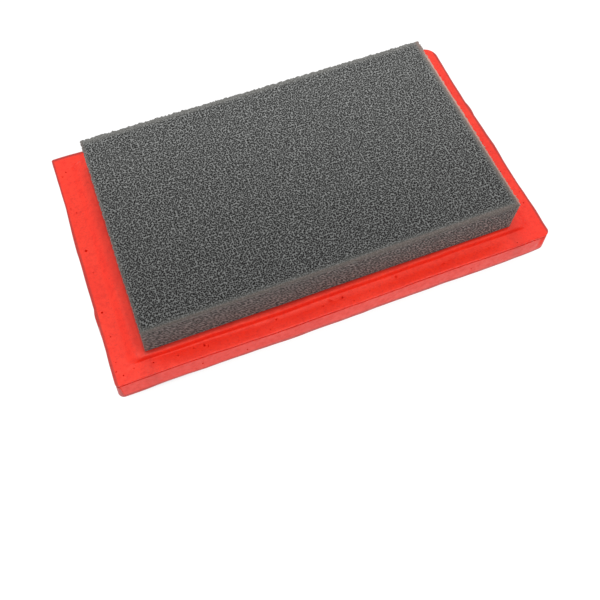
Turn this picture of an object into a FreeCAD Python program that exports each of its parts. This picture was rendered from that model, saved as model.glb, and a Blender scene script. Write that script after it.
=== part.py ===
import FreeCAD, Part
import math
import os

# Panel air-filter cartridge for a small engine, with a loose foam pre-cleaner on it.
# Millimetres. X runs along the cartridge, Y across it, +Z is up (towards the dirty side).
# The origin is under the middle of the cartridge, on the surface that it stands on.

# Moulded polyurethane frame
frameLength = 203.0
frameWidth = 124.0
skirtHeight = 7.3          # locating skirt under the flange
flangeHeight = 12.3
platformHeight = 2.6       # raised platform that carries the pad
lipCorners = (1.3, 3.0, 7.0, 1.0)     # front left, front right, back right, back left
footCorners = (2.8, 3.8, 6.6, 1.8)    # the same at the foot of the wall
flareEnds = 1.1            # the foot of the wall stands this far outside the lip, on the short sides
flareSides = 0.3           # the same on the long sides
wallInset = 0.0            # the top of the wall stands this far inside the lip
lipHeight = 0.8
grooveInset = 0.8
grooveHeight = 1.0
lipRound = 0.4
footRound = 0.6
longLandWidth = 6.9        # from the lip to the foot of the platform, on the long sides
shortLandWidth = 6.3       # the same on the short sides
platformCorner = 3.2
# Height above the land, and how far the platform has drawn in by then on the long and the short
# sides. It is a steep step along the long sides and an easy slope at the short ones.
platformProfile = [(0.0, -0.3, 0.0), (0.15, -0.1, 1.1), (0.5, 0.05, 2.0), (0.95, 0.15, 2.7),
                   (1.65, 0.3, 3.7), (2.1, 0.45, 4.4), (2.45, 0.7, 5.2), (2.6, 1.1, 6.4)]
skirtInset = 9.0
skirtDraft = 0.5
skirtCorner = 3.5
skirtRound = 0.8
windowLength = 164.0
windowWidth = 92.0
windowCorner = 2.0
windowLead = 0.6           # chamfer round the mouth of the window
beadInset = 4.2            # sealing bead under the flange
beadRadius = 0.9
nibLength = 10.0           # small moulded nibs on the two short sides
nibProud = 0.6
leftNibY = -29.0
rightNibY = 17.5

# Pleated paper, potted into the frame at all four edges
pottingDepth = 2.0
pleatPitch = 4.0
paperThickness = 0.5
foldRadius = 0.4           # at the middle of the sheet
paperBottom = 3.2
paperTop = 21.0

# Hot-melt spacer beads across the pleat tips
glueWidth = 1.8
glueProud = 0.5
glueBite = 0.9             # how far a bead sinks between the pleats
glueSpacing = 26.0

# Wire screen under the paper
wireDiameter = 0.6
wirePitch = 3.4
screenMiddle = 1.9

# Open-cell foam pre-cleaner, a loose pad that lies a little off centre
foamLength = 169.6
foamWidth = 102.4
foamHeight = 18.3
foamMiddle = (-0.5, -2.0)

flangeBottom = skirtHeight
flangeTop = skirtHeight + flangeHeight
platformTop = flangeTop + platformHeight


def roundedOutline(length, width, radii, z):
    """A closed outline at height z. The radii are front left, front right, back right, back left."""
    middles = [(-1, -1), (1, -1), (1, 1), (-1, 1)]
    ends = []
    for (sx, sy), r in zip(middles, radii):
        centre = FreeCAD.Vector(sx * (length / 2 - r), sy * (width / 2 - r), z)
        turn = math.atan2(sy, sx)
        ends.append([centre + FreeCAD.Vector(r * math.cos(turn + a), r * math.sin(turn + a), 0)
                     for a in (-math.pi / 4, 0, math.pi / 4)])
    edges = []
    for here, following in zip(ends, ends[1:] + ends[:1]):
        edges.append(Part.Arc(*here).toShape())
        edges.append(Part.LineSegment(here[2], following[0]).toShape())
    return Part.Wire(edges)


def slab(length, width, radii, bottom, height):
    face = Part.Face(roundedOutline(length, width, radii, bottom))
    return face.extrude(FreeCAD.Vector(0, 0, height))


def taperedSlab(length, width, radius, bottom, height, draft):
    """A slab whose four sides lean in by draft between its bottom and its top."""
    wide = roundedOutline(length, width, [radius] * 4, bottom)
    radii = [radius - draft / 2] * 4
    narrow = roundedOutline(length - 2 * draft, width - 2 * draft, radii, bottom + height)
    return Part.makeLoft([wide, narrow], True, True)


def edgesAtHeight(shape, z):
    """The edges that lie flat at height z."""
    flat = []
    for edge in shape.Edges:
        box = edge.BoundBox
        if abs(box.ZMin - z) < 1e-4 and abs(box.ZMax - z) < 1e-4:
            flat.append(edge)
    return flat


def flangeOutline(inset, z):
    radii = [radius - inset for radius in lipCorners]
    return roundedOutline(frameLength - 2 * inset, frameWidth - 2 * inset, radii, z)


def flangeLayer(inset, bottom, height):
    return Part.Face(flangeOutline(inset, bottom)).extrude(FreeCAD.Vector(0, 0, height))


def makeFlange():
    """The wall flares towards its foot. A groove under the lip marks the mould's parting line."""
    wallTop = flangeTop - lipHeight - grooveHeight
    footLength = frameLength + 2 * flareEnds
    footWidth = frameWidth + 2 * flareSides
    foot = roundedOutline(footLength, footWidth, footCorners, flangeBottom)
    wall = Part.makeLoft([foot, flangeOutline(wallInset, wallTop)], True, True)
    wall = wall.makeFillet(footRound, edgesAtHeight(wall, flangeBottom))
    groove = flangeLayer(grooveInset, wallTop, grooveHeight)
    lip = flangeLayer(0.0, flangeTop - lipHeight, lipHeight)
    lip = lip.makeFillet(lipRound, edgesAtHeight(lip, flangeTop))
    return wall.fuse([groove, lip])


def nibOutline(side, y, reach, z):
    """An arc that stands nibProud beyond reach, closed off inside the wall."""
    start = FreeCAD.Vector(side * reach, y - nibLength / 2, z)
    crown = FreeCAD.Vector(side * (reach + nibProud), y, z)
    end = FreeCAD.Vector(side * reach, y + nibLength / 2, z)
    back = FreeCAD.Vector(-side * 2.0, 0, 0)
    return Part.Wire([Part.Arc(start, crown, end).toShape(),
                      Part.LineSegment(end, end + back).toShape(),
                      Part.LineSegment(end + back, start + back).toShape(),
                      Part.LineSegment(start + back, start).toShape()])


def makeNib(side, y):
    """A shallow rounded nib over the height of the wall, on the short side at side * X."""
    reach = frameLength / 2 - wallInset
    low = nibOutline(side, y, reach + flareEnds, flangeBottom + footRound)
    high = nibOutline(side, y, reach, flangeTop - lipRound)
    return Part.makeLoft([low, high], True, True)


def makePlatform():
    sink = 1.0
    length = frameLength - 2 * shortLandWidth
    width = frameWidth - 2 * longLandWidth
    radii = [platformCorner] * 4
    sections = [roundedOutline(length - 2 * ends, width - 2 * sides, radii, flangeTop + height)
                for height, sides, ends in platformProfile]
    below = sections[0].copy()
    below.translate(FreeCAD.Vector(0, 0, -sink))
    return Part.makeLoft([below] + sections, True, True)


def makeSkirt():
    """The skirt narrows downwards, so it is made the wide way up and then turned over."""
    length = frameLength - 2 * skirtInset
    width = frameWidth - 2 * skirtInset
    skirt = taperedSlab(length, width, skirtCorner, 0, skirtHeight + 1.0, skirtDraft)
    skirt = skirt.makeFillet(skirtRound, edgesAtHeight(skirt, skirtHeight + 1.0))
    skirt.rotate(FreeCAD.Vector(0, 0, 0), FreeCAD.Vector(1, 0, 0), 180)
    skirt.translate(FreeCAD.Vector(0, 0, skirtHeight + 1.0))
    return skirt


def makeSealBead():
    """A half-round bead round the underside of the flange."""
    length = frameLength - 2 * beadInset
    width = frameWidth - 2 * beadInset
    path = roundedOutline(length, width, [2.0] * 4, flangeBottom)
    start = FreeCAD.Vector(0, -width / 2, flangeBottom)
    section = Part.Wire(Part.makeCircle(beadRadius, start, FreeCAD.Vector(1, 0, 0)))
    return path.makePipeShell([section], True, False)


def makeWindow():
    opening = slab(windowLength, windowWidth, [windowCorner] * 4, -1.0, platformTop + 2.0)
    mouthLength = windowLength + 2 * windowLead
    mouthWidth = windowWidth + 2 * windowLead
    mouth = taperedSlab(mouthLength, mouthWidth, windowCorner + windowLead, 0, windowLead, windowLead)
    topMouth = mouth.mirror(FreeCAD.Vector(0, 0, 0), FreeCAD.Vector(0, 0, 1))
    topMouth.translate(FreeCAD.Vector(0, 0, platformTop))
    return opening.fuse([mouth, topMouth])


def makeSealFrame():
    frame = makeFlange().fuse([makePlatform(), makeSkirt(), makeSealBead(),
                               makeNib(-1, leftNibY), makeNib(1, rightNibY)])
    frame = frame.cut(makeWindow()).removeSplitter()
    return frame.Solids[0]


def pleatSurface(upper):
    """One side of the pleated sheet in the XZ plane, as a chain of round folds and straight flanks."""
    half = paperThickness / 2
    outer, inner = foldRadius + half, foldRadius - half
    step = pleatPitch / 2
    span = windowLength + 2 * pottingDepth
    folds = round(span / step)
    drop = paperTop - paperBottom - 2 * outer
    lean = math.atan2(step, drop) - math.asin(2 * foldRadius / math.hypot(step, drop))
    edges, last = [], None
    for i in range(folds + 1):
        crest = i % 2 == 0
        sign = 1 if crest else -1
        radius = outer if crest == upper else inner
        x = -span / 2 + i * step
        z = paperTop - outer if crest else paperBottom + outer
        points = [FreeCAD.Vector(x + radius * math.sin(a), 0, z + sign * radius * math.cos(a))
                  for a in (lean - math.pi / 2, 0, math.pi / 2 - lean)]
        if i == 0:
            points[0] = FreeCAD.Vector(x, 0, z + sign * radius)
            a = (math.pi / 2 - lean) / 2
            points[1] = FreeCAD.Vector(x + radius * math.sin(a), 0, z + sign * radius * math.cos(a))
        if i == folds:
            a = -(math.pi / 2 - lean) / 2
            points[1] = FreeCAD.Vector(x + radius * math.sin(a), 0, z + sign * radius * math.cos(a))
            points[2] = FreeCAD.Vector(x, 0, z + sign * radius)
        if last is not None:
            edges.append(Part.LineSegment(last, points[0]).toShape())
        edges.append(Part.Arc(*points).toShape())
        last = points[2]
    return edges


def makePleatedPaper():
    above, below = pleatSurface(True), pleatSurface(False)
    ends = [Part.LineSegment(above[i].Vertexes[v].Point, below[i].Vertexes[v].Point).toShape()
            for i, v in ((0, 0), (-1, -1))]
    outline = Part.Wire(Part.__sortEdges__(above + below + ends))
    width = windowWidth + 2 * pottingDepth
    face = Part.Face(outline)
    face.translate(FreeCAD.Vector(0, -width / 2, 0))
    return face.extrude(FreeCAD.Vector(0, width, 0))


def makeGlueBead(y, upper):
    """A bead with a rounded crown that runs along X over the pleat tips, y across the cartridge."""
    tip = paperTop if upper else paperBottom
    out = 1 if upper else -1
    half = glueWidth / 2
    shoulder = glueProud / 2
    low, side, crown = tip - out * glueBite, tip + out * (glueProud - shoulder), tip + out * glueProud
    x = -windowLength / 2
    points = [FreeCAD.Vector(x, y + dy, z) for dy, z in
              ((-half, low), (-half, side), (0, crown), (half, side), (half, low))]
    outline = Part.Wire([Part.LineSegment(points[0], points[1]).toShape(),
                         Part.Arc(points[1], points[2], points[3]).toShape(),
                         Part.LineSegment(points[3], points[4]).toShape(),
                         Part.LineSegment(points[4], points[0]).toShape()])
    return Part.Face(outline).extrude(FreeCAD.Vector(windowLength, 0, 0))


def makeWires(along, across, z, direction):
    """Parallel wires that fill the window and end in the potting."""
    count = int(across // wirePitch)
    length = along + 2 * pottingDepth
    wires = []
    for i in range(count):
        place = (i - (count - 1) / 2) * wirePitch
        if direction == "x":
            start, axis = FreeCAD.Vector(-length / 2, place, z), FreeCAD.Vector(1, 0, 0)
        else:
            start, axis = FreeCAD.Vector(place, -length / 2, z), FreeCAD.Vector(0, 1, 0)
        wires.append(Part.makeCylinder(wireDiameter / 2, length, start, axis))
    return Part.makeCompound(wires)


def makeFoam():
    corner = FreeCAD.Vector(foamMiddle[0] - foamLength / 2, foamMiddle[1] - foamWidth / 2, platformTop)
    return Part.makeBox(foamLength, foamWidth, foamHeight, corner)


def save(shape, node):
    assert shape.isValid(), node
    shape.exportStep(f"parts/{node}.step")
    box = shape.BoundBox
    print(f"{node}: {len(shape.Solids)} solids, {shape.Volume / 1000:.2f} cm3, "
          f"{box.XLength:.1f} x {box.YLength:.1f} x {box.ZLength:.1f}, z {box.ZMin:.2f} to {box.ZMax:.2f}")


os.makedirs("parts", exist_ok=True)
save(makeSealFrame(), "seal_frame")
save(makePleatedPaper(), "pleated_paper")
save(makeWires(windowLength, windowWidth, screenMiddle + wireDiameter / 2, "x"), "screen_long_wires")
save(makeWires(windowWidth, windowLength, screenMiddle - wireDiameter / 2, "y"), "screen_cross_wires")
for place, offset in (("front", -1), ("middle", 0), ("back", 1)):
    save(makeGlueBead(offset * glueSpacing, True), f"glue_bead_upper_{place}")
    save(makeGlueBead(offset * glueSpacing, False), f"glue_bead_lower_{place}")
save(makeFoam(), "foam_precleaner")
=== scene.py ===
import math
import random

import bpy
from mathutils import Matrix, Vector


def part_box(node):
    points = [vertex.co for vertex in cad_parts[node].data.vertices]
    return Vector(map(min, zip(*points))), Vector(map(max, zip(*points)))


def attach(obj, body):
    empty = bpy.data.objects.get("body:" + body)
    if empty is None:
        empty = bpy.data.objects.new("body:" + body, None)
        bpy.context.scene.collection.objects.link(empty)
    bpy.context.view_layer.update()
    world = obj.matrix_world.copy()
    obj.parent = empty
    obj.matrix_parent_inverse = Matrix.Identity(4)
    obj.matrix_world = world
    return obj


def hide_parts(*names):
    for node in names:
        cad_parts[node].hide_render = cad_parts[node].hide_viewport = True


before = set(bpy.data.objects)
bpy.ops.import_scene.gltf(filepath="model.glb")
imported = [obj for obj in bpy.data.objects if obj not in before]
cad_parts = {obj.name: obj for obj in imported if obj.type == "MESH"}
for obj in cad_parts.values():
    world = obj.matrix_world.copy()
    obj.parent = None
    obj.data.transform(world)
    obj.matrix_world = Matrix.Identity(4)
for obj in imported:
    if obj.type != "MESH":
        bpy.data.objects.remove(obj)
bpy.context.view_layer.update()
mm = 0.001
random.seed(7)

frameLow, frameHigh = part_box("seal_frame")
paperLow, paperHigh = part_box("pleated_paper")
foamLow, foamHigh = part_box("foam_precleaner")
longLow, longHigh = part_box("screen_long_wires")
crossLow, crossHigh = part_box("screen_cross_wires")


class Wire:
    # a node's output socket, wrapped so that it can stand in sums
    def __init__(self, socket):
        self.socket = socket
        self.tree = socket.id_data

    def math(self, operation, *others):
        return addNode(self.tree, "ShaderNodeMath", {"operation": operation}, [self, *others])

    def __add__(self, other):
        return self.math("ADD", other)

    def __sub__(self, other):
        return self.math("SUBTRACT", other)

    def __rsub__(self, other):
        return addNode(self.tree, "ShaderNodeMath", {"operation": "SUBTRACT"}, [other, self])

    def __mul__(self, other):
        return self.math("MULTIPLY", other)

    __radd__ = __add__
    __rmul__ = __mul__

    def smooth(self, low, high, start=0.0, end=1.0):
        settings = {"interpolation_type": "SMOOTHSTEP"}
        return addNode(self.tree, "ShaderNodeMapRange", settings, [self, low, high, start, end])


def addNode(tree, kind, settings=None, values=(), out=0):
    # values is a list for the sockets in order, or a dictionary by socket name
    made = tree.nodes.new(kind)
    for name, value in (settings or {}).items():
        setattr(made, name, value)
    pairs = values.items() if isinstance(values, dict) else enumerate(values)
    for key, value in pairs:
        socket = made.inputs[key]
        if isinstance(value, Wire):
            tree.links.new(value.socket, socket)
        elif value is not None:
            socket.default_value = value
    return Wire(made.outputs[out])


class Finish:
    # one material: a Principled shader and the nodes behind it
    def __init__(self, name):
        self.material = bpy.data.materials.new(name)
        self.material.use_nodes = True
        self.tree = self.material.node_tree
        self.tree.nodes.clear()
        self.shader = self.tree.nodes.new("ShaderNodeBsdfPrincipled")
        output = self.tree.nodes.new("ShaderNodeOutputMaterial")
        self.tree.links.new(self.shader.outputs[0], output.inputs[0])
        self.place = self.node("ShaderNodeTexCoord", out="Object")

    def node(self, kind, settings=None, values=(), out=0):
        return addNode(self.tree, kind, settings, values, out)

    def noise(self, size, detail=2.0, roughness=0.5, place=None):
        values = {"Vector": place or self.place, "Scale": 1 / size,
                  "Detail": detail, "Roughness": roughness}
        return self.node("ShaderNodeTexNoise", {"noise_dimensions": "3D"}, values)

    def cells(self, size, out="Distance", randomness=1.0, place=None, flat=False):
        settings = {"voronoi_dimensions": "2D" if flat else "3D"}
        values = {"Vector": place or self.place, "Scale": 1 / size, "Randomness": randomness}
        return self.node("ShaderNodeTexVoronoi", settings, values, out)

    def stretch(self, scale):
        return self.node("ShaderNodeMapping", {}, {"Vector": self.place, "Scale": scale})

    def blend(self, mask, first, second, how="MIX"):
        settings = {"data_type": "RGBA", "blend_type": how}
        return self.node("ShaderNodeMix", settings, {0: mask, 6: first, 7: second}, out=2)

    def bump(self, height, depth, strength=1.0, under=None):
        values = {"Height": height, "Distance": depth, "Strength": strength}
        if under is not None:
            values["Normal"] = under
        return self.node("ShaderNodeBump", {}, values)

    def set(self, **values):
        # names are the shader's own, with spaces left out
        sockets = {socket.name.replace(" ", ""): socket for socket in self.shader.inputs}
        for name, value in values.items():
            if isinstance(value, Wire):
                self.tree.links.new(value.socket, sockets[name])
            else:
                sockets[name].default_value = value
        return self.material


def colour(red, green, blue):
    return (red, green, blue, 1.0)


def clearSelection():
    if bpy.context.object and bpy.context.object.mode != "OBJECT":
        bpy.ops.object.mode_set(mode="OBJECT")
    bpy.ops.object.select_all(action="DESELECT")


def activate(piece):
    clearSelection()
    piece.select_set(True)
    bpy.context.view_layer.objects.active = piece


def editAll(piece):
    activate(piece)
    bpy.ops.object.mode_set(mode="EDIT")
    bpy.ops.mesh.select_all(action="SELECT")


def leaveEdit():
    bpy.ops.object.mode_set(mode="OBJECT")


def applyModifiers(piece):
    activate(piece)
    for modifier in list(piece.modifiers):
        bpy.ops.object.modifier_apply(modifier=modifier.name)


def selectWhere(piece, kind, test):
    # kind is vertices, edges or polygons; test takes the mesh and one element
    mesh = piece.data
    modes = {"vertices": (True, False, False), "edges": (False, True, False),
             "polygons": (False, False, True)}
    activate(piece)
    bpy.context.tool_settings.mesh_select_mode = modes[kind]
    bpy.ops.object.mode_set(mode="EDIT")
    bpy.ops.mesh.select_all(action="DESELECT")
    leaveEdit()
    for element in getattr(mesh, kind):
        element.select = test(mesh, element)
    bpy.ops.object.mode_set(mode="EDIT")


def copyOfNode(node, name):
    # the CAD node's mesh is loose triangles, so its doubles are merged
    piece = bpy.data.objects.new(name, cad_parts[node].data.copy())
    bpy.context.scene.collection.objects.link(piece)
    editAll(piece)
    bpy.ops.mesh.remove_doubles(threshold=0.002 * mm)
    leaveEdit()
    return piece


def sliceThrough(piece, axis, low, high, spacing):
    # flat cuts square to one axis, so that a later wobble has vertices to move
    count = max(1, round((high - low) / spacing))
    direction = [0.0, 0.0, 0.0]
    direction[axis] = 1.0
    editAll(piece)
    for i in range(1, count):
        at = [0.0, 0.0, 0.0]
        at[axis] = low + (high - low) * i / count
        bpy.ops.mesh.select_all(action="SELECT")
        bpy.ops.mesh.bisect(plane_co=at, plane_no=direction)
    leaveEdit()


def wobble(piece, size, strength, direction="NORMAL", depth=1):
    # RGB_TO_XYZ shifts neighbouring points together, so thin lips stay whole
    texture = bpy.data.textures.new(piece.name + "Wobble", "CLOUDS")
    texture.noise_scale = size
    texture.noise_depth = depth
    texture.cloud_type = "COLOR" if direction == "RGB_TO_XYZ" else "GRAYSCALE"
    displace = piece.modifiers.new("Wobble", "DISPLACE")
    displace.texture = texture
    displace.texture_coords = "LOCAL"
    displace.direction = direction
    displace.mid_level = 0.5
    displace.strength = strength
    applyModifiers(piece)


def joinAll(pieces, name):
    clearSelection()
    for piece in pieces:
        piece.select_set(True)
    bpy.context.view_layer.objects.active = pieces[0]
    bpy.ops.object.join()
    joined = bpy.context.object
    joined.name = name
    return joined


def finishPiece(piece, material, body, slot, *nodes, angle=None):
    piece.data.materials.clear()
    piece.data.materials.append(material)
    activate(piece)
    if angle is None:
        bpy.ops.object.shade_smooth()
    else:
        bpy.ops.object.shade_smooth_by_angle(angle=math.radians(angle))
    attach(piece, body)
    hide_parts(*nodes)
    return piece


cameraLook = {
    "azimuth": -20.2,
    "elevation": 63.4,
    "roll": -1.1,
    "distance": 343.6 * mm,
    "aim": (-11.2 * mm, -37.1 * mm, -12.1 * mm),
    "lens": 42.65,
}


def makeCamera():
    turn, rise, roll = (math.radians(cameraLook[k]) for k in ("azimuth", "elevation", "roll"))
    back = Vector((math.sin(turn) * math.cos(rise), -math.cos(turn) * math.cos(rise), math.sin(rise)))
    right = Vector((math.cos(turn), math.sin(turn), 0))
    up = back.cross(right)
    rolledRight = math.cos(roll) * right + math.sin(roll) * up
    rolledUp = back.cross(rolledRight)
    data = bpy.data.cameras.new("camera")
    data.lens = cameraLook["lens"]
    data.sensor_width = 36
    data.clip_start = 0.01
    camera = bpy.data.objects.new("camera", data)
    bpy.context.scene.collection.objects.link(camera)
    place = Vector(cameraLook["aim"]) + back * cameraLook["distance"]
    turned = Matrix((rolledRight, rolledUp, back)).transposed().to_4x4()
    camera.matrix_world = Matrix.Translation(place) @ turned
    bpy.context.scene.camera = camera


studio = {
    "floorSize": 6.0,
    "floorColour": colour(0.12, 0.12, 0.12),
    "floorGlow": 0.94,
    "glowEdge": (-7.0 * mm, -2.5 * mm),
    "floorDrop": 0.8 * mm,
    "skyColour": colour(1.0, 1.0, 1.0),
    "skyRise": (-0.05, 0.6),
    "zenith": 1.0,
    "horizon": 0.40,
    "keySize": 0.9,
    "keyPower": 5.2,
    "keyPlace": (-0.25, -0.12, 1.3),
    "fillSize": 0.7,
    "fillPower": 0.8,
    "fillPlace": (0.6, 0.7, 0.9),
}


def areaLight(name, place, size, power):
    data = bpy.data.lights.new(name, "AREA")
    data.size = size
    data.energy = power
    light = bpy.data.objects.new(name, data)
    bpy.context.scene.collection.objects.link(light)
    light.location = place
    light.rotation_euler = (-Vector(place)).to_track_quat("-Z", "Y").to_euler()


def makeFloor():
    # a pale floor with a glow of its own, except under the part, where it stays in shade
    clearSelection()
    bpy.ops.mesh.primitive_plane_add(size=studio["floorSize"],
                                     location=(0, 0, frameLow.z - studio["floorDrop"]))
    floor = bpy.context.object
    floor.name = "floor"
    paint = Finish("paleFloor")
    x, y = (paint.node("ShaderNodeSeparateXYZ", {}, [paint.place], out=i).math("ABSOLUTE") for i in (0, 1))
    outside = (x - frameHigh.x).math("MAXIMUM", y - frameHigh.y).smooth(*studio["glowEdge"])
    glow = paint.blend(outside, colour(0, 0, 0), colour(1, 1, 1))
    floor.data.materials.append(paint.set(
        BaseColor=studio["floorColour"], Roughness=0.95, SpecularIORLevel=0.1,
        EmissionColor=glow, EmissionStrength=studio["floorGlow"]))


def makeSky():
    # brighter overhead than at the horizon
    world = bpy.data.worlds.new("studioSky")
    bpy.context.scene.world = world
    world.use_nodes = True
    tree = world.node_tree
    direction = addNode(tree, "ShaderNodeTexCoord", out=0)
    rise = addNode(tree, "ShaderNodeSeparateXYZ", {}, [direction], out=2)
    level = rise.smooth(*studio["skyRise"], studio["horizon"], studio["zenith"])
    tree.nodes["Background"].inputs["Color"].default_value = studio["skyColour"]
    tree.links.new(level.socket, tree.nodes["Background"].inputs["Strength"])


def makeStudio():
    makeFloor()
    makeSky()
    areaLight("key", studio["keyPlace"], studio["keySize"], studio["keyPower"])
    areaLight("fill", studio["fillPlace"], studio["fillSize"], studio["fillPower"])
    bpy.context.scene.view_settings.view_transform = "Standard"


castFrame = {
    "sliceSpacing": 3.5 * mm,
    "lipX": 101.5 * mm,
    "lipY": 62.0 * mm,
    # painted shade and painted shadow: full up to the first distance, gone at the second, and how strong
    "lipDirt": (0.85 * mm, 1.8 * mm, 0.8),
    "footDirt": (1.4 * mm, 2.6 * mm, 0.72),
    "wallTone": (-1.7 * mm, -0.9 * mm, 0.16),
    "padLineX": (0.5 * mm, 1.5 * mm, 1.0),
    "padLineY": (-0.4 * mm, 0.9 * mm, 0.55),
    "dullBand": (0.5 * mm, 6.0 * mm, 0.18),
    "dullStart": -3.0 * mm,
    "drift": 1.7 * mm,
    "driftSize": 42.0 * mm,
    "ripple": 0.36 * mm,
    "rippleSize": 9.0 * mm,
    "footHeight": frameLow.z + 7.3 * mm,
    "landHeight": frameHigh.z - 2.65 * mm,
    "landInset": (1.6 * mm, 5.2 * mm),
    "smallPits": 70,
    "wallPits": 36,
    "pitRadius": (0.16 * mm, 0.34 * mm),
    "pitStretch": 2.8,
    "pitGap": 3.2 * mm,
    "cornerGap": 8 * mm,
    "wallInset": 0.6 * mm,
    "wallRange": (9.5 * mm, 3.0 * mm),  # up from the bottom and down from the land
    "endShift": (0.6 * mm, 1.6 * mm),  # the two ends lean in further: on the wall, on the land
    # burst air bubbles: place along X, place along Y and radius, in mm
    "bubbles": [
        (-98.5, -27, 0.55), (-97.5, 6, 0.60), (-90.0, 0.5, 0.42), (-91.0, 18, 0.46),
        (-98.0, -39.5, 0.40), (-99.5, -56, 0.42), (-97.0, -58.5, 0.36), (-90.5, 55.5, 0.40),
        (-96.5, 52, 0.38), (-98.5, 50, 0.30), (-62.0, -57.5, 0.50), (-60.5, -58.5, 0.34),
        (-84.0, -57.5, 0.42), (-73.5, -58, 0.34), (1.0, -57.5, 0.50), (-29.0, -56.5, 0.34),
        (27.0, -56.5, 0.36), (-88.0, -48, 0.34),
    ],
}


# painted shade that fades out with distance
def paintedShade(distance, name):
    near, far, strength = castFrame[name]
    return distance.smooth(near, far, strength, 0.0)


def frameFinish():
    paint = Finish("castPolyurethane")
    cloud = paint.noise(26 * mm, 3.0)
    mottle = paint.noise(2.2 * mm, 4.0, 0.6)
    skin = paint.noise(0.8 * mm, 3.0, 0.6)
    base = paint.blend(cloud.smooth(0.3, 0.7), colour(0.87, 0.018, 0.005), colour(0.95, 0.029, 0.009))
    base = paint.blend(mottle.smooth(0.42, 0.72, 0.0, 0.6), base, colour(0.76, 0.010, 0.004))
    base = paint.blend(skin.smooth(0.50, 0.76, 0.0, 0.6), base, colour(0.62, 0.008, 0.004))
    # painted shade darkens the lip's sharp edge at the two ends and the back, a painted contact shadow
    # darkens the foot, and painted shade dims the wall below the land
    x, y, z = (paint.node("ShaderNodeSeparateXYZ", {}, [paint.place], out=i) for i in range(3))
    past = (x.math("ABSOLUTE") - castFrame["lipX"]).math("MAXIMUM", y - castFrame["lipY"])
    lip = paintedShade(0 - past, "lipDirt")
    foot = paintedShade(z - castFrame["footHeight"], "footDirt")
    wall = paintedShade(z - castFrame["landHeight"], "wallTone")
    edges = lip.math("MAXIMUM", foot).math("MAXIMUM", wall)
    base = paint.blend(edges, base, colour(0.36, 0.020, 0.018))
    # a painted contact shadow runs round the pad's foot, and painted shade darkens the short lands next to
    # it
    middle, reach = (foamLow + foamHigh) / 2, (foamHigh - foamLow) / 2
    besideX, besideY = ((axis - centre).math("ABSOLUTE") - span for axis, centre, span in (
        (x, middle.x, reach.x), (y, middle.y, reach.y)))
    padShadow = paintedShade(besideX, "padLineX") * paintedShade(besideY, "padLineY")
    padShade = paintedShade(besideX, "dullBand") * besideX.smooth(castFrame["dullStart"], 0.0)
    base = paint.blend(padShadow.math("MAXIMUM", padShade), base, colour(0.30, 0.012, 0.010))
    height = paint.bump(skin, 0.10 * mm, 0.5)
    height = paint.bump(mottle, 0.18 * mm, 0.5, under=height)
    return paint.set(
        BaseColor=base, Roughness=mottle.smooth(0.2, 0.8, 0.34, 0.56), IOR=1.47,
        SpecularTint=colour(1.0, 0.95, 0.82), Normal=height)


def addPit(x, y, z, radius, axis=2):
    # a ball stretched along the axis that goes into the surface
    stretch = [1.0, random.uniform(0.75, 1.25), random.uniform(0.75, 1.25)]
    stretch[axis] = castFrame["pitStretch"]
    clearSelection()
    bpy.ops.mesh.primitive_ico_sphere_add(subdivisions=2, radius=radius, location=(x, y, z))
    bpy.ops.transform.resize(value=stretch)
    bpy.ops.object.transform_apply(location=True, rotation=True, scale=True)
    return bpy.context.object


def scatterPits():
    # balls to be cut out of the land and the walls as air bubbles; none may touch, or the cut fails
    low, high = castFrame["pitRadius"]
    near, far = castFrame["landInset"]
    land = castFrame["landHeight"]
    above, under = castFrame["wallRange"]
    wallShift, landShift = castFrame["endShift"]
    corner = castFrame["cornerGap"]
    pits = [addPit(x * mm, y * mm, land, radius * mm) for x, y, radius in castFrame["bubbles"]]
    centres = [Vector((x * mm, y * mm, land)) for x, y, radius in castFrame["bubbles"]]
    for i in range(castFrame["smallPits"] + castFrame["wallPits"]):
        onWall = i >= castFrame["smallPits"]
        inset = castFrame["wallInset"] if onWall else random.uniform(near, far)
        z = random.uniform(frameLow.z + above, land - under) if onWall else land
        side = random.randrange(4)
        if side < 2:
            x = random.uniform(frameLow.x + corner, frameHigh.x - corner)
            y = (frameLow.y + inset) if side == 0 else (frameHigh.y - inset)
        else:
            y = random.uniform(frameLow.y + corner, frameHigh.y - corner)
            shift = inset + (wallShift if onWall else landShift)
            x = (frameLow.x + shift) if side == 2 else (frameHigh.x - shift)
        if any((centre - Vector((x, y, z))).length < castFrame["pitGap"] for centre in centres):
            continue
        centres.append(Vector((x, y, z)))
        axis = 2 if not onWall else (1 if side < 2 else 0)
        pits.append(addPit(x, y, z, random.uniform(low, high) * (1.3 if onWall else 1.0), axis))
    return joinAll(pits, "airBubbles")


def makeFrame():
    piece = copyOfNode("seal_frame", "cast_frame")
    sliceThrough(piece, 0, frameLow.x, frameHigh.x, castFrame["sliceSpacing"])
    sliceThrough(piece, 1, frameLow.y, frameHigh.y, castFrame["sliceSpacing"])
    pits = scatterPits()
    cut = piece.modifiers.new("Pits", "BOOLEAN")
    cut.operation = "DIFFERENCE"
    cut.solver = "EXACT"
    cut.object = pits
    applyModifiers(piece)
    bpy.data.objects.remove(pits)
    wobble(piece, castFrame["driftSize"], castFrame["drift"], direction="RGB_TO_XYZ")
    wobble(piece, castFrame["rippleSize"], castFrame["ripple"], direction="RGB_TO_XYZ")
    return finishPiece(piece, frameFinish(), "cartridge", "frame_polyurethane", "seal_frame", angle=32)


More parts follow.
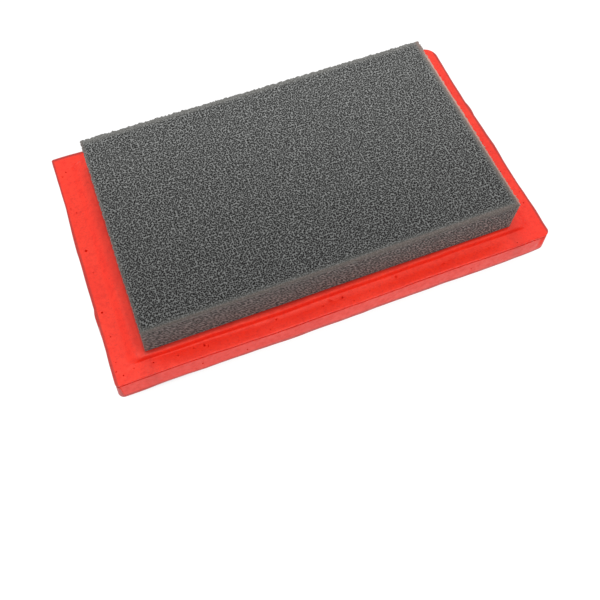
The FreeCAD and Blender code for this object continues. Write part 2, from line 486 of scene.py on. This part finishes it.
foamPad = {
    "cell": 0.6 * mm,
    "inset": 0.25 * mm,
    "poreSize": 0.8 * mm,
    "poreDepth": 0.36 * mm,
    "sag": 0.6 * mm,
    "sagSize": 45.0 * mm,
    "frayWidth": 0.9 * mm,
    "fray": 0.5 * mm,
    "porePattern": 0.78 * mm,
    "gritPattern": 0.45 * mm,
    "fold": (0.73, 0.61),
    "toneMix": (2.1, 0.4, 0.72),  # pores and grit added, and how much is taken off for the dark holes
    # how far in from the pad's outline each band of painted light starts and is full
    "rimBand": (-3.4 * mm, -0.3 * mm),
    "endBand": (-2.8 * mm, -0.8 * mm),
    "tornBand": (-0.8 * mm, -0.3 * mm),
    "warmBand": (-1.5 * mm, -0.6 * mm),
    # 1 for the right, back and top corner, with how far in mm that corner is shifted along X and Y
    "cornerShift": {
        (0, 0, 1): (1.2, 0.3), (1, 0, 1): (0.2, -0.8), (1, 1, 1): (0.2, 0.0), (0, 1, 1): (1.3, 0.5),
        (0, 0, 0): (-0.6, 0.8), (1, 0, 0): (0.0, -0.2), (1, 1, 0): (0.0, 0.0), (0, 1, 0): (0.3, 0.0),
    },
}


def foamFinish():
    paint = Finish("openCellFoam")
    middle = (foamLow + foamHigh) / 2
    reach = (foamHigh - foamLow) / 2
    x, y, z = (paint.node("ShaderNodeSeparateXYZ", {}, [paint.place], out=i) for i in range(3))
    # height is folded into both flat axes, so one even pattern of pores runs over the top and the sides
    foldX, foldY = foamPad["fold"]
    folded = paint.node("ShaderNodeCombineXYZ", {}, [x + z * foldX, y + z * foldY])
    pores = paint.cells(foamPad["porePattern"], randomness=0.8, place=folded, flat=True)
    grit = paint.node("ShaderNodeSeparateColor", {}, [paint.cells(foamPad["gritPattern"], out="Color")])
    poreTone, gritTone, hole = foamPad["toneMix"]
    tone = (pores * poreTone + grit * gritTone - hole).math("MAXIMUM", 0.0)
    # a lighter band of painted light runs along the top edges, and painted shade makes the pad darker
    # towards the front left
    besideX, besideY = ((axis - centre).math("ABSOLUTE") - span for axis, centre, span in (
        (x, middle.x, reach.x), (y, middle.y, reach.y)))
    beside = besideX.math("MAXIMUM", besideY)
    endsAndFront = besideX.math("MAXIMUM", (middle.y - reach.y) - y)
    onTop = z.smooth(foamHigh.z - 2.4 * mm, foamHigh.z - 0.7 * mm)
    rimLight = beside.smooth(*foamPad["rimBand"]) * onTop
    # painted warm light on the two end faces
    ends = besideX.smooth(*foamPad["endBand"])
    # a painted pinkish fringe of light along the top of the two ends, fading towards the back
    fringeLight = besideX.smooth(*foamPad["tornBand"]) * z.smooth(foamHigh.z - 4 * mm, foamHigh.z - 1 * mm)
    fringeLight = fringeLight * y.smooth(foamHigh.y - 12 * mm, foamHigh.y - 5 * mm, 0.75, 0.0)
    # painted red bounce light from the frame, stronger low down on the ends and the front
    lowDown = z.smooth(foamLow.z + 1 * mm, foamHigh.z, 1.0, 0.45)
    redBounce = endsAndFront.smooth(*foamPad["warmBand"]) * lowDown
    shade = (y * (1 / (100 * mm)) + x * (1 / (420 * mm))).smooth(-0.75, 0.75, 0.62, 1.08)
    base = paint.blend(tone, colour(0.002, 0.002, 0.002), colour(0.278, 0.285, 0.279))
    base = paint.blend(rimLight * 0.68, base, colour(0.205, 0.203, 0.190))
    base = paint.blend(ends * 0.35, base, colour(0.26, 0.19, 0.165))
    base = paint.blend(fringeLight, base, colour(0.60, 0.39, 0.33))
    base = paint.blend(redBounce, base, colour(1.36, 1.0, 0.92), "MULTIPLY")
    shadeTint = paint.node("ShaderNodeCombineColor", {}, [shade, shade, shade])
    base = paint.blend(1.0, base, shadeTint, "MULTIPLY")
    height = paint.bump(tone, 0.35 * mm, 0.6)
    return paint.set(BaseColor=base, Roughness=0.92, SpecularIORLevel=0.15, Normal=height,
                     SheenWeight=0.25, SheenRoughness=0.45, SheenTint=colour(0.85, 0.82, 0.80))


def leanAndFray(piece):
    # the pad is cut by hand: each corner is a little off square, and torn struts stand out of its edges
    size = foamHigh - foamLow
    for vertex in piece.data.vertices:
        along, across, up = ((vertex.co[i] - foamLow[i]) / size[i] for i in range(3))
        shift = Vector((0, 0, 0))
        for (right, back, top), (dx, dy) in foamPad["cornerShift"].items():
            weight = ((along if right else 1 - along) * (across if back else 1 - across)
                      * (up if top else 1 - up))
            shift += weight * Vector((dx, dy, 0)) * mm
        toEnd, toSide = min(along, 1 - along) * size.x, min(across, 1 - across) * size.y
        if min(toEnd, toSide) < foamPad["frayWidth"] and up > 0.9:
            fray = random.uniform(-0.3, 1.0) * foamPad["fray"]
            if toEnd < toSide:
                shift.x += math.copysign(fray, along - 0.5) if fray > 0 else 0
            else:
                shift.y += math.copysign(fray, across - 0.5) if fray > 0 else 0
            shift.z += random.uniform(-0.4, 0.6) * foamPad["fray"]
        vertex.co += shift


def makeFoam():
    inset = foamPad["inset"]
    size = foamHigh - foamLow - 2 * Vector((inset, inset, inset / 2))
    middle = (foamLow + foamHigh) / 2
    across = round(size.x / foamPad["cell"])
    deep = round(size.y / foamPad["cell"])
    tall = round(size.z / foamPad["cell"])
    clearSelection()
    bpy.ops.mesh.primitive_grid_add(x_subdivisions=across, y_subdivisions=deep, size=1,
                                    location=(middle.x, middle.y, foamLow.z + inset / 2))
    piece = bpy.context.object
    piece.name = "cut_foam"
    piece.scale = (size.x, size.y, 1)
    activate(piece)
    bpy.ops.object.transform_apply(location=True, rotation=True, scale=True)
    editAll(piece)
    bpy.ops.mesh.extrude_region_move(TRANSFORM_OT_translate={"value": (0, 0, size.z)})
    leaveEdit()
    selectWhere(piece, "edges", lambda mesh, edge: abs(
        mesh.vertices[edge.vertices[0]].co.z - mesh.vertices[edge.vertices[1]].co.z) > size.z / 2)
    bpy.ops.mesh.subdivide(number_cuts=tall - 1)
    bpy.ops.mesh.select_all(action="SELECT")
    bpy.ops.mesh.normals_make_consistent(inside=False)
    leaveEdit()
    wobble(piece, foamPad["sagSize"], foamPad["sag"])
    wobble(piece, foamPad["poreSize"], foamPad["poreDepth"], depth=2)
    leanAndFray(piece)
    finishPiece(piece, foamFinish(), "precleaner", "foam", "foam_precleaner")
    return piece


pleats = {
    "sliceSpacing": 8.0 * mm,
    "drift": 1.5 * mm,
    "driftSize": 24.0 * mm,
    "crinkle": 0.22 * mm,
    "crinkleSize": 5.0 * mm,
}


def paperFinish():
    paint = Finish("filterPaper")
    fibre = paint.noise(1.3 * mm, 6.0, 0.72, paint.stretch((1, 0.3, 0.6)))
    emboss = paint.node("ShaderNodeTexWave", {"wave_type": "BANDS", "bands_direction": "Z"},
                        {"Vector": paint.place, "Scale": 110.0, "Distortion": 1.2, "Detail": 1.0})
    fleck = paint.cells(2.4 * mm)
    base = paint.blend(fibre.smooth(0.3, 0.7), colour(0.56, 0.40, 0.18), colour(0.78, 0.63, 0.36))
    base = paint.blend(fleck.smooth(0.05, 0.14, 0.35, 0.0), base, colour(0.38, 0.24, 0.10))
    height = paint.bump(fibre, 0.16 * mm, 0.6)
    height = paint.bump(emboss, 0.12 * mm, 0.3, under=height)
    return paint.set(BaseColor=base, Roughness=0.86, SpecularIORLevel=0.3, Normal=height)


def makePaper():
    piece = copyOfNode("pleated_paper", "pleated_sheet")
    sliceThrough(piece, 1, paperLow.y, paperHigh.y, pleats["sliceSpacing"])
    wobble(piece, pleats["driftSize"], pleats["drift"], direction="RGB_TO_XYZ")
    wobble(piece, pleats["crinkleSize"], pleats["crinkle"], direction="RGB_TO_XYZ")
    return finishPiece(piece, paperFinish(), "cartridge", "filter_paper", "pleated_paper", angle=50)


glueBead = {
    "sliceSpacing": 1.0 * mm,
    "sagBetween": 0.34 * mm,
    "sagBeside": 0.14 * mm,
    "lumps": 0.55 * mm,
    "lumpSize": 2.6 * mm,
}


def glueFinish():
    paint = Finish("hotMelt")
    tone = paint.noise(3.0 * mm, 3.0)
    base = paint.blend(tone.smooth(0.3, 0.7), colour(0.72, 0.60, 0.36), colour(0.84, 0.76, 0.54))
    return paint.set(BaseColor=base, Roughness=tone.smooth(0.2, 0.8, 0.18, 0.34), IOR=1.48,
                     CoatWeight=0.25, CoatRoughness=0.15,
                     Normal=paint.bump(tone, 0.3 * mm, 0.25))


def makeGlueBead(node, material):
    # the bead hangs between the tips that it crosses, and the lower tips are half a pitch along
    low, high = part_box(node)
    upper = node.startswith("glue_bead_upper")
    tips = 0 if upper else 2
    sag = -1 if upper else 1
    piece = copyOfNode(node, node.replace("glue_bead", "melt"))
    sliceThrough(piece, 0, low.x, high.x, glueBead["sliceSpacing"])
    for drop, steps in ((glueBead["sagBetween"], (2,)), (glueBead["sagBeside"], (1, 3))):
        selectWhere(piece, "vertices", lambda mesh, vertex: (round(vertex.co.x / mm) - tips) % 4 in steps)
        bpy.ops.transform.translate(value=(0, 0, sag * drop))
        leaveEdit()
    wobble(piece, glueBead["lumpSize"], glueBead["lumps"], direction="RGB_TO_XYZ")
    return finishPiece(piece, material, "cartridge", "hot_melt", node, angle=60)


wovenScreen = {
    "pitch": 3.4 * mm,
    "radius": 0.3 * mm,
    "swing": 0.3 * mm,
    "sides": 8,
    # height of the wave at each quarter of the pitch, as a part of the swing
    "wave": [1.0, 0.707, 0.0, -0.707, -1.0, -0.707, 0.0, 0.707],
}


def wireFinish():
    paint = Finish("galvanisedWire")
    zinc = paint.noise(1.2 * mm, 4.0, 0.6)
    base = paint.blend(zinc.smooth(0.3, 0.7), colour(0.42, 0.43, 0.44), colour(0.66, 0.67, 0.68))
    return paint.set(BaseColor=base, Metallic=1.0, Roughness=zinc.smooth(0.2, 0.8, 0.26, 0.5),
                     Normal=paint.bump(zinc, 0.05 * mm, 0.4))


def wavyWire(axis, length, start, count, sign, shift):
    # one wire along an axis, bent over and under its neighbours, then repeated every second place
    step = wovenScreen["pitch"] / 4
    clearSelection()
    turn = (0, math.radians(90), 0) if axis == 0 else (math.radians(90), 0, 0)
    middle = (longLow.z + crossHigh.z) / 2
    place = (0, start, middle) if axis == 0 else (start, 0, middle)
    bpy.ops.mesh.primitive_cylinder_add(vertices=wovenScreen["sides"], radius=wovenScreen["radius"],
                                        depth=length, location=place, rotation=turn)
    bpy.ops.object.transform_apply(location=True, rotation=True, scale=True)
    wire = bpy.context.object
    ends = math.floor(length / 2 / step) * step
    sliceThrough(wire, axis, -ends, ends, step)
    for rise in sorted(set(wovenScreen["wave"]) - {0.0}):
        at = [i for i, height in enumerate(wovenScreen["wave"]) if height == rise]
        selectWhere(wire, "vertices", lambda mesh, vertex: (
            abs(vertex.co[axis]) < ends and (round(vertex.co[axis] / step) - shift) % 8 in at))
        bpy.ops.transform.translate(value=(0, 0, sign * rise * wovenScreen["swing"]))
        leaveEdit()
    repeat = wire.modifiers.new("Repeat", "ARRAY")
    repeat.count = count
    repeat.use_relative_offset = False
    repeat.use_constant_offset = True
    offset = [0.0, 0.0, 0.0]
    offset[1 - axis] = 2 * wovenScreen["pitch"]
    repeat.constant_offset_displace = offset
    applyModifiers(wire)
    return wire


def makeScreen():
    pitch = wovenScreen["pitch"]
    steel = wireFinish()
    for node, name, axis, low, high, shift in (
            ("screen_long_wires", "woven_long_wires", 0, longLow, longHigh, 2),
            ("screen_cross_wires", "woven_cross_wires", 1, crossLow, crossHigh, 0)):
        first = low[1 - axis] + wovenScreen["radius"]
        total = round((high[1 - axis] - low[1 - axis]) / pitch) + 1
        length = high[axis] - low[axis]
        wires = [wavyWire(axis, length, first, (total + 1) // 2, 1, shift),
                 wavyWire(axis, length, first + pitch, total // 2, -1, shift)]
        finishPiece(joinAll(wires, name), steel, "cartridge", "screen_wire", node, angle=50)


makeCamera()
makeStudio()
print("stage: studio ready")
makeFrame()
print("stage: frame ready")
makeFoam()
print("stage: foam ready")
makePaper()
print("stage: paper ready")
glue = glueFinish()
for nodeName in sorted(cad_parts):
    if nodeName.startswith("glue_bead"):
        makeGlueBead(nodeName, glue)
print("stage: glue ready")
makeScreen()
print("stage: screen ready")
